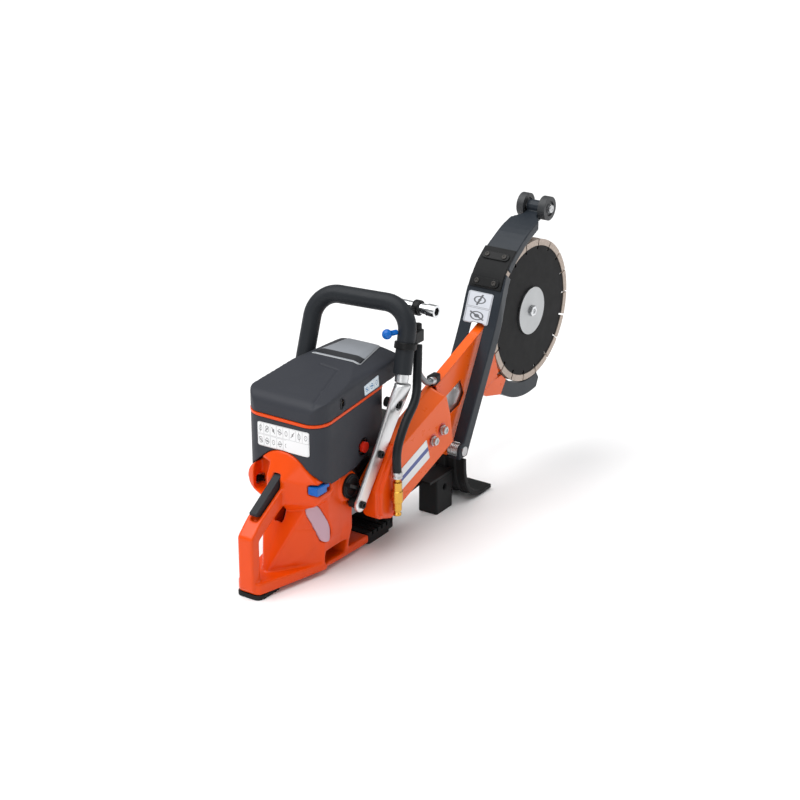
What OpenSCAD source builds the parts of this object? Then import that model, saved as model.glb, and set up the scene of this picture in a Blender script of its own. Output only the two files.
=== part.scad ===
// Petrol rescue saw with a long cutting arm, twin blades and a swinging roller guard.
// +X points forward to the blades, +Y to the user's left, +Z up.
// The origin is the centre of the rear foot's face, on the floor.

/* [Blades] */
// Blade diameter
blade_d = 230; // [220:1:234]
// Width of cut across both blades
kerf_w = 18; // [17.6:0.1:20]
// Number of diamond segments on each blade
segments = 18; // [12:1:24]
// Diameter of the outer blade flanges
flange_d = 77; // [60:1:90]

/* [Cutting arm] */
// Blade axis ahead of the rear foot
blade_x = 630; // [620:1:650]
// Blade axis above the floor
blade_z = 245; // [240:1:252]
// Distance of the cutting plane to the right of the centre plane
cut_offset = 59; // [58.9:0.1:59.2]
// Thickness of the arm behind the blades
arm_w = 16; // [15:0.5:17]

/* [Engine] */
// Cylinder bore
bore_d = 56; // [50:0.5:57]
// Piston stroke
stroke = 34; // [30:0.5:35]
// Drive pulley radius at the belt
drive_r = 22; // [20:0.5:23]
// Blade pulley radius at the belt
hub_r = 33; // [30:0.5:34]

/* [Guard] */
// Roller diameter
roller_d = 38; // [32:1:40]
// Roller width
roller_w = 12; // [10:0.5:12]
// Width of the guard strap
guard_w = 64; // [62:0.5:66]

/* [Front foot] */
// Length of the front foot's face
foot_len = 45; // [40:1:46]
// Width of the front foot's face
foot_w = 34; // [30:1:34]

/* [Handles] */
// Diameter of the front handle's grip
grip_d = 27; // [24:0.5:28]
// Diameter of the front handle's tube
tube_d = 20; // [18:0.5:21]

/* [Hidden] */
$fn = 48;
orange = "#f15a16";
charcoal = "#3a4046";
black = "#1c1d1f";
rubber = "#26282a";
steel = "#b9bcc0";
alloy = "#8f959b";
brass = "#c8a24a";
blue = "#1f5fa8";

cut_y = -cut_offset;
drive_x = 206;
drive_z = 100;
arm_a = atan2(blade_z - drive_z, blade_x - drive_x);
arm_len = norm([blade_x - drive_x, blade_z - drive_z]);
blade_r = blade_d / 2;

// Stack across the cut, measured from the cutting plane
seg_t = 4;
core_t = 2.2;
core_in = kerf_w / 2 - seg_t / 2 - core_t / 2;
core_out = core_in + core_t;
flange_t = 2.9;
arm_in = 4.4;
shaft_r = 8;
run_fit = 0.03;

// Arm heights above and below the arm's axis
arm_top = 57;
arm_low = 45;
guard_top = 66;
guard_low = 41;
channel_start = 168;
channel_end = 330;
wall = 2;

cover_rear = 64;
cover_right = -64;
cover_left = 70;
starter_r = 54.5;
pivot_x = 396;
pivot_z = 92;
front_x = 367;
roller_x = 653;
roller_z = 410;
cap_x = 138;
cap_z = 126;
crank_r = stroke / 2;
rod_len = 62;
crank_bear_r = 7.5;

// ---------- Helpers ----------

// Extrudes an outline drawn in X and Z from y0 to y1
module side_plate(y0, y1) {
    translate([0, y1, 0])
        rotate([90, 0, 0])
            linear_extrude(y1 - y0)
                children();
}

// Cylinder along Y
module rod_y(x, z, y0, y1, r) {
    translate([x, y1, z])
        rotate([90, 0, 0])
            cylinder(r = r, h = y1 - y0);
}

// Places children drawn in X (along the arm), Z (across it) and Y on the cutting plane
module on_arm() {
    translate([drive_x, cut_y, drive_z])
        rotate([0, -arm_a, 0])
            children();
}

// Upright slab with rounded vertical edges
module slab(x0, x1, y0, y1, z0, z1, r) {
    translate([x0 + r, y0, z0]) cube([x1 - x0 - 2 * r, y1 - y0, z1 - z0]);
    translate([x0, y0 + r, z0]) cube([x1 - x0, y1 - y0 - 2 * r, z1 - z0]);
    for (x = [x0 + r, x1 - r])
        for (y = [y0 + r, y1 - r])
            translate([x, y, z0]) cylinder(r = r, h = z1 - z0);
}

// Points of an arc, by centre, radius and end angles
function arc(c, r, a0, a1, n = 10) =
    [for (i = [0:n]) c + r * [cos(a0 + (a1 - a0) * i / n), sin(a0 + (a1 - a0) * i / n)]];

// Midline of the guard strap's outer face, as corner points for a smooth curve
guard_knots = [
    [383, 80], [414, 137], [451, 206], [481, 264], [499, 308],
    [517, 340], [549, 367], [592, 390], [633, 402], [664, 407]
];

// Smooth curve through knots, four steps to each span
function knot(k, i) = k[max(0, min(len(k) - 1, i))];
function curve_point(k, i, u) =
    0.5 * (2 * knot(k, i) + u * (knot(k, i + 1) - knot(k, i - 1))
    + u * u * (2 * knot(k, i - 1) - 5 * knot(k, i) + 4 * knot(k, i + 1) - knot(k, i + 2))
    + u * u * u * (3 * knot(k, i) - 3 * knot(k, i + 1) + knot(k, i + 2) - knot(k, i - 1)));
function curve(k, first, last) =
    [for (t = [first:0.25:last]) curve_point(k, floor(t), t - floor(t))];

// Unit normal of a path at point i, to the right of travel
function path_dir(p, i) =
    let (d = p[min(i + 1, len(p) - 1)] - p[max(i - 1, 0)]) d / norm(d);
function offset_path(p, d) =
    [for (i = [0:len(p) - 1]) p[i] + d * [path_dir(p, i)[1], -path_dir(p, i)[0]]];
function reversed(p) = [for (i = [len(p) - 1:-1:0]) p[i]];

// Band between two offsets of a path
module band(p, d0, d1) {
    polygon(concat(offset_path(p, d0), reversed(offset_path(p, d1))));
}

// ---------- Tank, rear handle and rear controls ----------

// Flat base that runs back to the rear foot
module tank_base() {
    hull() {
        for (y = [-12, 12])
            translate([-14, y, 7]) cylinder(r = 9, h = 18, $fn = 32);
        for (y = [-42, 42])
            translate([94, y, 8]) cylinder(r = 8, h = 12, $fn = 32);
    }
}

// Tank body, which narrows to a sloping ridge behind the trigger and leaves room for the hand
module tank_body(grow = 0) {
    hull() {
        translate([22, 0, 18]) cylinder(r = 7 + grow, h = 6, $fn = 32);
        translate([74, 0, 66]) cylinder(r = 12 + grow, h = 50, $fn = 32);
        for (y = [-46, 46])
            translate([94, y, 56]) cylinder(r = 10 + grow, h = 90, $fn = 32);
        for (y = [-38, 38])
            translate([94, y, 8]) cylinder(r = 8 + grow, h = 10, $fn = 32);
    }
}

module tank_shoulder(grow = 0) {
    hull() {
        translate([63, 0, 146]) rotate([0, 90, 0]) cylinder(r = 46 + grow, h = 34, $fn = 32);
        for (y = [-38, 40])
            translate([66, y, 139]) rotate([0, 90, 0]) cylinder(r = 25 + grow, h = 31, $fn = 32);
        translate([46, -14, 120]) cube([4, 28, 36]);
    }
}

// One stretch of the rear handle loop between two points in X and Z
module grip_link(a, b, ra, rb) {
    hull() {
        rod_y(a[0], a[1], -13, 13, ra, $fn = 32);
        rod_y(b[0], b[1], -13, 13, rb, $fn = 32);
    }
}

// Places children along the top of the rear grip
module on_grip() {
    translate([-6, 0, 119.5])
        rotate([0, -28.7, 0])
            children();
}

module window_slot(y0, y1, grow = 0) {
    side_plate(y0, y1)
        polygon(concat(
            arc([74, 107], 9 + grow, 20, 200),
            arc([92, 64], 10 + grow, 200, 380)));
}

module fuel_tank() {
    color(orange)
        difference() {
            union() {
                tank_base();
                tank_body();
                tank_shoulder();
                translate([90, 0, 0])
                    rotate([90, 0, 90])
                        linear_extrude(60)
                            polygon([[-46, 8], [-57, 56], [-57, 146], [57, 146], [57, 56], [46, 8]]);
                linear_extrude(height = 38)
                    polygon([[110, -47], [205, -51], [236, -40], [236, 40], [205, 51], [110, 47]]);
                grip_link([-18.5, 16], [-18.5, 90], 8.5, 8.5);
                grip_link([-18.5, 90], [2, 106], 8.5, 10.5);
                grip_link([2, 106], [66, 141], 10.5, 12.5);
                rod_y(cap_x, cap_z, -61, -50, 21);
            }
            // Level with the top of the rear foot
            translate([-60, -80, -1]) cube([400, 160, 8]);
            // Fuel space and the bay under the crankcase
            translate([68, -18, 15]) cube([26, 36, 44]);
            translate([94, -52, 15]) cube([50, 104, 124]);
            translate([152, -60, 20]) cube([100, 120, 40]);
            translate([199, -50, 0]) cube([40, 100, 21]);
            rod_y(cap_x, cap_z, -70, -45, 15.2);
            difference() {
                window_slot(-70, -15);
                tank_body(-5);
            }
            // Dark pocket beside the grip and the recesses for the controls
            translate([46, 17, 122]) cube([34, 34, 52]);
            translate([59, -70, 137]) cube([34, 26, 15]);
            translate([50, -7, 76]) cube([42, 14, 48]);
            rod_y(84, 116, -9.2, 9.2, 2.25);
            on_grip() {
                translate([-3, -6.5, -12]) cube([88, 13, 22.5]);
                rod_y(78, 2, -9.2, 9.2, 1.55);
            }
            translate([70, 46, 126.5]) cube([16, 20, 11.5]);
            rod_y(78, 130.2, 43.5, 47, 1.25);
            for (y = [-60, 50])
                rod_y(141, 100, y, y + 10, 3.1);
        }
}

module rubber_feet() {
    color(rubber) {
        difference() {
            slab(-25, 29, -22, 22, 0, 6.9, 12);
            for (x = [-16, -8, 8, 16])
                translate([x - 1.5, -30, -1]) cube([3, 60, 2.5]);
        }
        difference() {
            slab(front_x - foot_len / 2, front_x + foot_len / 2,
                cut_y - foot_w / 2, cut_y + foot_w / 2, 0, 58, 3);
            rod_y(front_x, 40, cut_y - 30, cut_y - 10, 5);
        }
    }
}

module fuel_cap() {
    color(black) {
        rod_y(cap_x, cap_z, -65, -61.2, 18);
        rod_y(cap_x, cap_z, -61.2, -48, 15);
        translate([cap_x, -68, cap_z]) rotate([0, 30, 0]) cube([31, 7, 5], center = true);
    }
}

module fuel_window() {
    color("#c9b9cf", 0.7)
        intersection() {
            window_slot(-70, -15, -0.3);
            difference() {
                tank_body(-0.6);
                tank_body(-4.8);
            }
        }
}

module throttle_trigger() {
    color(black)
        union() {
            side_plate(-6, 6)
                polygon(concat(
                    arc([84, 116], 6, 130, -20, 6),
                    [[82, 92], [76, 84], [68, 84], [74, 98]]));
            rod_y(84, 116, -9, 9, 2.2);
        }
}

module trigger_lockout() {
    color(rubber)
        on_grip()
            union() {
                side_plate(-6, 6)
                    polygon([[0, 0], [1, 4], [78, 9], [82, 7], [82, -4], [78, -8], [8, -8]]);
                rod_y(78, 2, -9, 9, 1.5);
            }
}

module choke_knob() {
    color(blue) {
        translate([60, -62, 139]) cube([22, 16, 11]);
        translate([82, -62, 145]) cube([6, 16, 4.5]);
    }
}

module stop_switch() {
    color(black)
        union() {
            side_plate(50, 62)
                polygon([[71, 129], [85, 129], [85, 134], [78, 136.5], [71, 134]]);
            rod_y(78, 130.2, 44, 51, 1.2);
        }
}

// ---------- Covers ----------

// Space above a plane that climbs gently forward, starting from height z at the rear
module above(z) {
    translate([60, -100, z]) rotate([0, -3.2, 0]) translate([-20, 0, 0]) cube([300, 200, 120]);
}

// Plan of the covers: wide at the rear, narrower between the handle's legs, d inside the edge
module cover_plan(front, d, z0, z1) {
    translate([0, 0, z0])
        linear_extrude(z1 - z0)
            polygon(concat(
                arc([cover_rear + 30, cover_left - 30], 30 - d, 180, 98, 8),
                arc([front - 14, 36], 14 - d, 84, 0, 5),
                arc([front - 14, -43], 14 - d, 0, -88, 5),
                arc([cover_rear + 28, cover_right + 28], 28 - d, 268, 180, 8)));
}

module cylinder_cover() {
    color(charcoal)
        difference() {
            cover_plan(236, 0, 130, 262);
            above(236);
            cover_plan(233, 3, 100, 300);
            tank_shoulder(0.6);
            translate([89, -100, 100]) cube([63, 200, 47]);
            rod_y(cap_x, cap_z, -80, -50, 21.6);
            rod_y(drive_x, drive_z, 40, 90, starter_r + 1);
            // Open front, sloping lower edge and the round recess for the valve
            side_plate(-90, 90) polygon([[150, 120], [240, 120], [240, 180], [205, 160], [150, 147]]);
            translate([215, -50, 120]) cube([40, 100, 130]);
            rod_y(176, 172, -80, -50, 13);
            translate([60, -100, 100]) cube([30, 200, 50]);
        }
}

module cover_trim() {
    color(orange)
        difference() {
            cover_plan(236.5, -0.5, 130, 290);
            above(240.1);
            cover_plan(232.5, 3.5, 100, 300);
            difference() {
                translate([0, -100, 100]) cube([300, 200, 200]);
                above(236.1);
            }
            translate([215, -50, 120]) cube([40, 100, 200]);
        }
}

module cover_shape(d) {
    intersection() {
        cover_plan(276, d, 200, 300);
        side_plate(-90, 90)
            polygon(concat(
                [[60, 200]],
                arc([84 + d, 252 - d], 18, 180, 100, 8),
                [[150, 280 - d], [200, 288 - d], [240, 291 - d]],
                arc([262 - d, 277 - d], 14, 85, 0, 8),
                [[276 - d, 200]]));
        rotate([90, 0, 90])
            linear_extrude(300)
                polygon(concat(
                    [[cover_right + d, 200]],
                    arc([cover_right + 18 + d, 264 - d], 18, 180, 110, 8),
                    [[-20, 290 - d], [24, 292 - d]],
                    arc([cover_left - 16 - d, 268 - d], 16, 75, 0, 8),
                    [[cover_left - d, 200]]));
    }
}

module air_filter_cover() {
    color(charcoal)
        difference() {
            cover_shape(0);
            cover_shape(2.5);
            difference() {
                translate([0, -100, 100]) cube([300, 200, 200]);
                above(240.2);
            }
            rod_y(123, 258, -80, -60, 5);
        }
}

module air_filter() {
    color("#c9b28a")
        slab(84, 160, -46, 46, 246, 262, 8);
}

// ---------- Carburettor and engine ----------

module carburettor() {
    color(alloy)
        difference() {
            union() {
                translate([107, -20, 162]) cube([24, 40, 34]);
                rod_y(119, 172, -27, -20, 6);
                translate([113, -14, 196]) cube([12, 28, 6]);
            }
            translate([100, 0, 180]) rotate([0, 90, 0]) cylinder(r = 12, h = 40);
            rod_y(119, 180, -24, 24, 3);
            translate([107, 20, 166]) cube([24, 4, 26]);
        }
}

module throttle_shaft() {
    color(brass) {
        rod_y(119, 180, -19, 27, 2.95);
        translate([118.2, 0, 180]) rotate([0, 90, 0]) cylinder(r = 11.9, h = 1.6);
        rod_y(119, 180, 24, 27, 8);
    }
}

module intake_boot() {
    color(rubber)
        translate([131.2, 0, 180])
            rotate([0, 90, 0])
                rotate_extrude()
                    polygon([[12, 0], [16, 0], [18, 6], [18, 14], [20, 20], [20, 31.5], [12, 31.5]]);
}

module cylinder_block() {
    color(alloy)
        difference() {
            union() {
                translate([drive_x, 0, 142.2]) cylinder(r = 33, h = 84);
                for (z = [148:8:222])
                    translate([drive_x - 40, -38, z]) cube([80, 76, 2.4]);
                translate([drive_x - 42, -14, 168]) cube([20, 28, 24]);
                translate([drive_x + 20, -16, 152]) cube([22, 32, 26]);
            }
            translate([drive_x, 0, 130]) cylinder(r = bore_d / 2, h = 72);
            translate([drive_x, 0, 190]) cylinder(r = 7, h = 60);
            translate([drive_x - 50, 0, 180]) rotate([0, 90, 0]) cylinder(r = 9, h = 40);
            translate([drive_x + 10, 0, 165]) rotate([0, 90, 0]) cylinder(r = 9, h = 40);
            rod_y(176, 172, -50, -30, 4);
            rod_y(drive_x, drive_z, 30.5, 60, 51);
        }
}

module piston() {
    pin_z = drive_z + crank_r + rod_len;
    color(alloy)
        difference() {
            translate([drive_x, 0, pin_z - 16]) cylinder(r = bore_d / 2 - run_fit, h = 36);
            translate([drive_x, 0, pin_z - 17]) cylinder(r = bore_d / 2 - 4, h = 32);
            rod_y(drive_x, pin_z, -40, 40, 6.03);
        }
    color(steel)
        rod_y(drive_x, pin_z, -26, 26, 6);
}

// Rod at top dead centre, with the crank pin in its big end
module connecting_rod() {
    big_z = drive_z + crank_r;
    color(steel) {
        difference() {
            union() {
                rod_y(drive_x, big_z, -7, 7, 13.5);
                rod_y(drive_x, big_z + rod_len, -7, 7, 10);
                translate([drive_x - 5, -3, big_z + 10]) cube([10, 6, rod_len - 18]);
            }
            rod_y(drive_x, big_z, -20, 20, 8.5);
            rod_y(drive_x, big_z + rod_len, -20, 20, 6.03);
        }
        rod_y(drive_x, big_z, -7.9, 7.9, 8);
    }
}

module crankshaft() {
    color(steel) {
        rod_y(drive_x, drive_z, -86, -8, crank_bear_r);
        rod_y(drive_x, drive_z, 8, 52, crank_bear_r);
        for (y = [-16, 8])
            rod_y(drive_x, drive_z, y, y + 8, 30);
    }
}

module crankcase() {
    color(alloy)
        difference() {
            union() {
                rod_y(drive_x, drive_z, -39, 28, 40);
                translate([drive_x - 38, -36, 104]) cube([76, 66, 38]);
                translate([drive_x - 30, -30, 52]) cube([60, 58, 30]);
            }
            rod_y(drive_x, drive_z, -20, 20, 32);
            rod_y(drive_x, drive_z, -60, 60, 17.5);
            // Room for the piston's skirt
            translate([drive_x, 0, 100]) cylinder(r = bore_d / 2 + 0.5, h = 80);
        }
}

module bearings() {
    color(steel) {
        for (y = [-32, 20.2])
            difference() {
                rod_y(drive_x, drive_z, y, y + 7, 17.45);
                rod_y(drive_x, drive_z, y - 1, y + 8, crank_bear_r + run_fit);
            }
        difference() {
            rod_y(blade_x, blade_z, cut_y + 2.1, cut_y + 4.2, 15.95);
            rod_y(blade_x, blade_z, cut_y, cut_y + 6, shaft_r + run_fit);
        }
    }
}

module flywheel() {
    color(alloy)
        difference() {
            union() {
                rod_y(drive_x, drive_z, 31, 36, 50);
                rod_y(drive_x, drive_z, 36, 46, 14);
                for (a = [0:24:359])
                    translate([drive_x, 0, drive_z]) rotate([0, a, 0])
                        translate([20, 35.5, -1]) cube([28, 9.5, 2]);
            }
            rod_y(drive_x, drive_z, 20, 60, crank_bear_r + 0.02);
        }
}

module ignition_module() {
    color(black)
        translate([drive_x - 18, 38.6, 151.2]) cube([36, 8.6, 19]);
}

module spark_plug() {
    color("#e6e2d8") {
        translate([drive_x, 0, 226.3]) cylinder(r = 10, h = 8, $fn = 6);
        translate([drive_x, 0, 208]) cylinder(r = 6.9, h = 18.3);
        translate([drive_x, 0, 234.3]) cylinder(r = 5, h = 22);
    }
}

module decompression_valve() {
    color("#b3261e") {
        rod_y(176, 172, -63, -58, 8);
        rod_y(176, 172, -58, -36, 3);
    }
}

module muffler() {
    color("#55585c")
        difference() {
            slab(249, 300, -38, 29, 84, 176, 9);
            slab(251, 298, -36, 27, 86, 174, 7);
            translate([270, -4, 100]) rotate([0, 90, 0]) cylinder(r = 7, h = 40);
            for (z = [130:8:160])
                translate([290, -28, z]) cube([20, 46, 3]);
        }
}

module belly_skid() {
    color(black)
        difference() {
            union() {
                slab(200, 272, -48, 48, 6, 20, 8);
                for (y = [-46, 34])
                    slab(206, 262, y, y + 12, 0, 8, 5);
                translate([240, -36, 18]) cube([28, 72, 24]);
            }
            for (x = [212:12:260])
                translate([x, -60, 14]) cube([4, 120, 40]);
        }
}

// ---------- Starter ----------

module starter_housing() {
    color(charcoal)
        difference() {
            rod_y(drive_x, drive_z, 48, 72, starter_r);
            rod_y(drive_x, drive_z, 47, 69.5, starter_r - 2.5);
            for (a = [0:20:359])
                translate([drive_x, 0, drive_z]) rotate([0, a, 0])
                    translate([34, 60, -2]) cube([14, 20, 4]);
            // Opening for the rope and the grip
            translate([drive_x, 40, drive_z]) rotate([0, -45, 0]) translate([30, 0, 10]) cube([60, 29, 30]);
        }
    // Pulley post and recoil spring
    color(charcoal)
        rod_y(drive_x, drive_z, 54, 69.5, 7.9);
    color(steel)
        difference() {
            rod_y(drive_x, drive_z, 64.5, 69, 27);
            rod_y(drive_x, drive_z, 60, 70, 17);
        }
}

module starter_pulley() {
    color(black)
        difference() {
            union() {
                rod_y(drive_x, drive_z, 54, 56, 32);
                rod_y(drive_x, drive_z, 54, 64, 26);
                rod_y(drive_x, drive_z, 62, 64, 32);
            }
            rod_y(drive_x, drive_z, 50, 70, 7.95);
        }
}

module starter_handle() {
    color(black)
        translate([drive_x, 59, drive_z])
            rotate([0, -45, 0]) {
                translate([36, 0, 26]) rotate([0, 90, 0]) cylinder(r = 4.5, h = 12);
                translate([48, -6, 14]) cube([12, 12, 22]);
            }
}

// ---------- Drive ----------

module clutch() {
    color(steel)
        difference() {
            rod_y(drive_x, drive_z, -82, -70, 27.5);
            rod_y(drive_x, drive_z, -90, -60, crank_bear_r + 0.02);
            for (a = [0:120:359])
                translate([drive_x, -90, drive_z]) rotate([0, a, 0])
                    translate([12, 0, -1.5]) cube([30, 30, 3]);
        }
}

module clutch_drum() {
    color(steel)
        difference() {
            union() {
                rod_y(drive_x, drive_z, -83.8, -66, 31);
                rod_y(drive_x, drive_z, -66, -56, drive_r);
                rod_y(drive_x, drive_z, -64, -61.6, drive_r + 3);
                rod_y(drive_x, drive_z, -57, -56, drive_r + 3);
            }
            rod_y(drive_x, drive_z, -90, -68, 29);
            rod_y(drive_x, drive_z, -90, -50, crank_bear_r + run_fit);
        }
}

// Outline of the clutch cover, shrunk by d
module cover_outline(d) {
    polygon(concat(
        arc([184, 78], 16 - d, 180, 270, 6),
        arc([206, 72], 18 - d, 270, 300, 3),
        [[218 - (d > 0 ? -5 : 0), 57.5 + d]],
        [[218 - (d > 0 ? -5 : 0), 168 - d]],
        arc([217, 154], 14 - d, 90, 144, 4),
        arc([182, 106], 14 - d, 144, 180, 4)));
}

module clutch_cover() {
    color(orange)
        difference() {
            union() {
                side_plate(-86, -62) cover_outline(0);
                side_plate(-92, -86) cover_outline(5);
            }
            side_plate(-84, -61) cover_outline(2.5);
            side_plate(-89.5, -83.9) cover_outline(7.5);
            translate([218, -100, 0]) cube([40, 60, 240]);
        }
}

module bar_bracket() {
    color(black)
        difference() {
            union() {
                side_plate(-50, -41)
                    polygon([[176, 84], [200, 62], [300, 44], [343.5, 48], [343.5, 158], [330, 158],
                        [206, 128], [180, 118]]);
                translate([325, -76, 58]) cube([front_x + foot_len / 2 - 325, 27, 4]);
            }
            rod_y(drive_x, drive_z, -60, -30, 17);
            translate([290, -60, 66]) cube([30, 40, 22]);
        }
}

module belt_side(y0, y1, grow) {
    translate([drive_x, 0, drive_z])
        rotate([0, -arm_a, 0])
            side_plate(y0, y1)
                polygon(concat(
                    arc([0, 0], drive_r + grow, 90, 270, 40),
                    arc([arm_len, 0], hub_r + grow, -90, 90, 40)));
}

module drive_belt() {
    color(black)
        difference() {
            belt_side(cut_y - 1.8, cut_y + 1.8, 2.2);
            belt_side(cut_y - 3, cut_y + 3, 0.05);
        }
}

module belt_guard() {
    color(orange)
        translate([drive_x, 0, drive_z])
            rotate([0, -arm_a, 0])
                difference() {
                    side_plate(-86, -62.5)
                        polygon([[-20, -guard_low], [164, -guard_low], [168, -20], [172, 10],
                            [172, 40], [158, guard_top], [-20, guard_top]]);
                    side_plate(-84, -60)
                        polygon([[-21, 2 - guard_low], [162, 2 - guard_low], [166, -20], [170, 10],
                            [170, 39], [157, guard_top - 2], [-21, guard_top - 2]]);
                    rotate([0, arm_a, 0])
                        translate([-100, -100, -100]) cube([112.5, 100, 240]);
                    for (s = [116, 143])
                        rod_y(s, 0, -100, -80, 5.2);
                }
}

module bar_nuts() {
    color(steel)
        on_arm()
            for (s = [116, 143]) {
                rod_y(s, 0, -28, -22, 5);
                rod_y(s, 0, -28, 8.8, 4);
                rod_y(s, 0, -30.5, -28, 7.5);
            }
}

module arm_outline(inset, last) {
    polygon([[-24, 26 - inset], [40, 50 - inset], [channel_start, 54 - inset],
        [last, arm_top + 2 - inset], [last, inset - arm_low], [40, inset - arm_low], [-24, inset - 30]]);
}

module cutting_arm() {
    half = arm_w / 2;
    color(orange)
        union() {
            pivot_lug();
            on_arm() difference() {
                union() {
                    side_plate(half - 3, half) arm_outline(0, channel_end);
                    side_plate(-2.5, half) difference() {
                        arm_outline(0, channel_end);
                        arm_outline(wall, channel_end + 5);
                        translate([-30, -60]) square([90, 120]);
                    }
                    side_plate(-half, half) difference() {
                        arm_outline(0, channel_end);
                        arm_outline(wall, channel_end + 5);
                        translate([-30, -60]) square([30 + channel_start + 6, 120]);
                    }
                    side_plate(1.9, half) translate([channel_end - 16, 0])
                        intersection() {
                            translate([-200, 0]) arm_outline(0.5, channel_end);
                            translate([0, -60]) square([16, 120]);
                        }
                    side_plate(1.9, arm_in) arm_nose();
                }
                rod_y(0, 0, -20, 20, 28);
                rod_y(arm_len, 0, 0, 20, 16);
                for (s = [116, 143])
                    hull() {
                        rod_y(s - 4, 0, 0, 20, 4.2, $fn = 32);
                        rod_y(s + 4, 0, 0, 20, 4.2, $fn = 32);
                    }
            }
        }
}

// Tapering end of the arm that runs between the blades
module arm_nose() {
    difference() {
        polygon(concat(
            [[channel_end - 10, arm_top + 1], [channel_end - 10, -arm_low]],
            arc([arm_len, 0], 42, -90, 90, 16)));
        translate([arm_len, 0]) circle(r = shaft_r + 3);
    }
}

module pivot_lug() {
    difference() {
        side_plate(cut_y - 6, cut_y + 6)
            polygon([[378, 112.6], [420, 127], [412, 90], [404, 82], [388, 82], [380, 90]]);
        rod_y(pivot_x, pivot_z, -80, -40, 5 + run_fit);
    }
}

module arm_cover() {
    half = arm_w / 2;
    color(orange)
        on_arm()
            difference() {
                union() {
                    side_plate(-half, 1.5 - half)
                        intersection() {
                            arm_outline(wall + 0.2, channel_end + 5);
                            translate([channel_start + 6.5, -60]) square([channel_end - channel_start - 8, 120]);
                        }
                    side_plate(-half, -2.6) translate([channel_end - 12, -40]) square([15, 88]);
                    side_plate(-arm_in, -2.6) difference() {
                        arm_nose();
                        translate([channel_end - 20, -60]) square([20.2, 130]);
                    }
                }
                // Window over the belt
                side_plate(-half - 1, 0)
                    polygon([[182, 20], [236, 20], [238, -8], [222, -18], [184, -14], [179, -4]]);
                rod_y(arm_len, 0, -20, 0, 20);
            }
    color(steel)
        on_arm() {
            side_plate(-3.6, -2.4)
                polygon([[178, 24], [240, 24], [242, -10], [226, -22], [180, -18], [176, -4]]);
            rod_y(227, 11, -6, -3.6, 4);
        }
}

// ---------- Blades ----------

module hub_shaft() {
    reach = core_out + flange_t + 1;
    color(steel) {
        rod_y(blade_x, blade_z, cut_y - reach, cut_y + reach, shaft_r);
        rod_y(blade_x, blade_z, cut_y - 1.7, cut_y + 1.7, hub_r);
        rod_y(blade_x, blade_z, cut_y - core_in, cut_y - 1.7, 19);
        rod_y(blade_x, blade_z, cut_y + arm_in + 0.2, cut_y + core_in, 28);
        for (side = [-1, 1])
            translate([blade_x, cut_y + side * (reach + 1.2), blade_z])
                rotate([90, 0, 0])
                    cylinder(r = 8.5, h = 2.4, center = true, $fn = 6);
    }
}

module blade(inner, outer, seg_inner, seg_outer) {
    difference() {
        union() {
            rod_y(0, 0, inner, outer, blade_r - 9);
            difference() {
                rod_y(0, 0, seg_inner, seg_outer, blade_r);
                rod_y(0, 0, seg_inner - 1, seg_outer + 1, blade_r - 10);
            }
        }
        rod_y(0, 0, -20, 20, shaft_r + 0.02);
        for (i = [0:segments - 1])
            rotate([0, i * 360 / segments, 0]) {
                translate([blade_r - 14, -20, -1.4]) cube([30, 40, 2.8]);
                rod_y(blade_r - 14, 0, -20, 20, 2.4);
            }
    }
}

module right_blade() {
    color("#2b2c2f")
        translate([blade_x, cut_y, blade_z])
            blade(-core_out, -core_in, -kerf_w / 2, seg_t - kerf_w / 2);
}

module left_blade() {
    color("#2b2c2f")
        translate([blade_x, cut_y, blade_z])
            blade(core_in, core_out, kerf_w / 2 - seg_t, kerf_w / 2);
}

module blade_flanges() {
    color(steel)
        for (y = [cut_y - core_out - flange_t, cut_y + core_out])
            difference() {
                rod_y(blade_x, blade_z, y, y + flange_t, flange_d / 2);
                rod_y(blade_x, blade_z, y - 1, y + flange_t + 1, shaft_r + 0.02);
            }
}

module hook_guard() {
    inner = blade_r + 3;
    outer = blade_r + 27;
    centre = [blade_x, blade_z];
    color(charcoal)
        side_plate(cut_y - 7, cut_y + 7)
            polygon(concat(
                arc(centre, outer, 233.7, 281, 16),
                [centre + (inner + 12) * [cos(285), sin(285)]],
                arc(centre, inner, 283, 233.7, 16)));
    color(orange)
        side_plate(cut_y - 7, cut_y + 7)
            polygon(concat(
                [[490, 149.2], [500, 141]],
                [centre + (outer + 2) * [cos(233.6), sin(233.6)]],
                arc(centre, inner, 233.6, 225, 6),
                [[522, 160.2]]));
}

// ---------- Roller guard ----------

// Plan outline that narrows the guard towards the rollers, d inside the edge
module guard_plan(d, neck) {
    linear_extrude(height = 600)
        translate([0, cut_y])
            polygon([[300, -guard_w / 2 + d], [500, -guard_w / 2 + d], [530, -28 + d], [618, -25.5 + d],
                [634, -neck + d], [690, -neck + d], [690, neck - d], [634, neck - d],
                [618, 25.5 - d], [530, 28 - d], [500, guard_w / 2 - d], [300, guard_w / 2 - d]]);
}

// Channel strap along part of the guard's curve
module guard_strap(first, last, depth, neck) {
    path = curve(guard_knots, first, last);
    difference() {
        intersection() {
            side_plate(-120, 0) band(path, 0, depth);
            guard_plan(0, neck);
        }
        intersection() {
            side_plate(-120, 0) band(path, 3, depth + 4);
            guard_plan(3, neck - 6);
        }
    }
}

module guard_lower() {
    color(charcoal)
        difference() {
            union() {
                guard_strap(0, 5, 20, 12);
                for (y = [-91, -33])
                    rod_y(pivot_x, pivot_z, y, y + 6, 12);
            }
            // Slot that lets the guard swing back along the arm
            side_plate(cut_y - 11.5, cut_y + 11.5)
                polygon([[360, 60], [440, 60], [500, 262], [470, 270], [380, 100]]);
            rod_y(pivot_x, pivot_z, -120, 0, 5.03);
            // Room for the return spring, and a flat end above the splash guard
            rod_y(pivot_x, pivot_z, -84.95, -33.05, 11.5);
            translate([360, -120, 60]) cube([80, 120, 21]);
        }
}

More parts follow.
